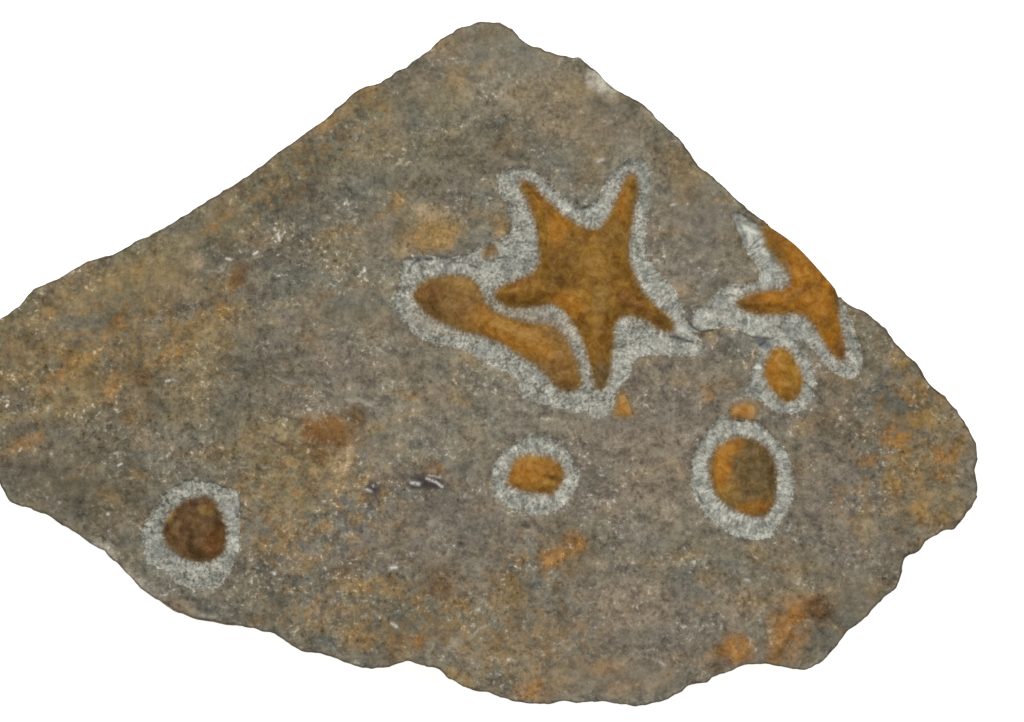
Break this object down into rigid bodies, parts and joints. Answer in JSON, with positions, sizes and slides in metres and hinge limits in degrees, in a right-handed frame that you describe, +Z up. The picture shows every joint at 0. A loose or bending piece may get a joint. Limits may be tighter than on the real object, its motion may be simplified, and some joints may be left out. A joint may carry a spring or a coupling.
{
  "type": "fossil starfish slab",
  "caption": "Loose slab of grey-brown stone with a starfish, part of another and a few round and long ochre fossils fixed in its upper face.",
  "frame": {"origin": "middle of the slab's underside, under the middle of its outline", "axes": "+X along the slab's length, +Y across it towards the whole starfish's two upper arms, +Z up out of the fossil face"},
  "size_m": [0.1656, 0.1146, 0.016],
  "materials": {
    "stone_matrix": "fine-grained grey-brown stone with ochre and blue-grey stains, pale where it was cut down",
    "ochre_fossil": "smooth golden-brown iron-stained fossil",
    "brown_fossil": "smooth dark brown fossil"
  },
  "bodies": {
    "root": {"matrix_slab": "stone_matrix", "main_starfish": "ochre_fossil", "edge_starfish": "ochre_fossil", "long_fossil": "ochre_fossil", "oval_fossil": "ochre_fossil", "round_fossil_large": "ochre_fossil", "round_fossil_small": "ochre_fossil", "dark_round_fossil": "brown_fossil", "fragment_by_ring": "ochre_fossil", "fragment_by_star": "ochre_fossil"}
  },
  "joints": []
}
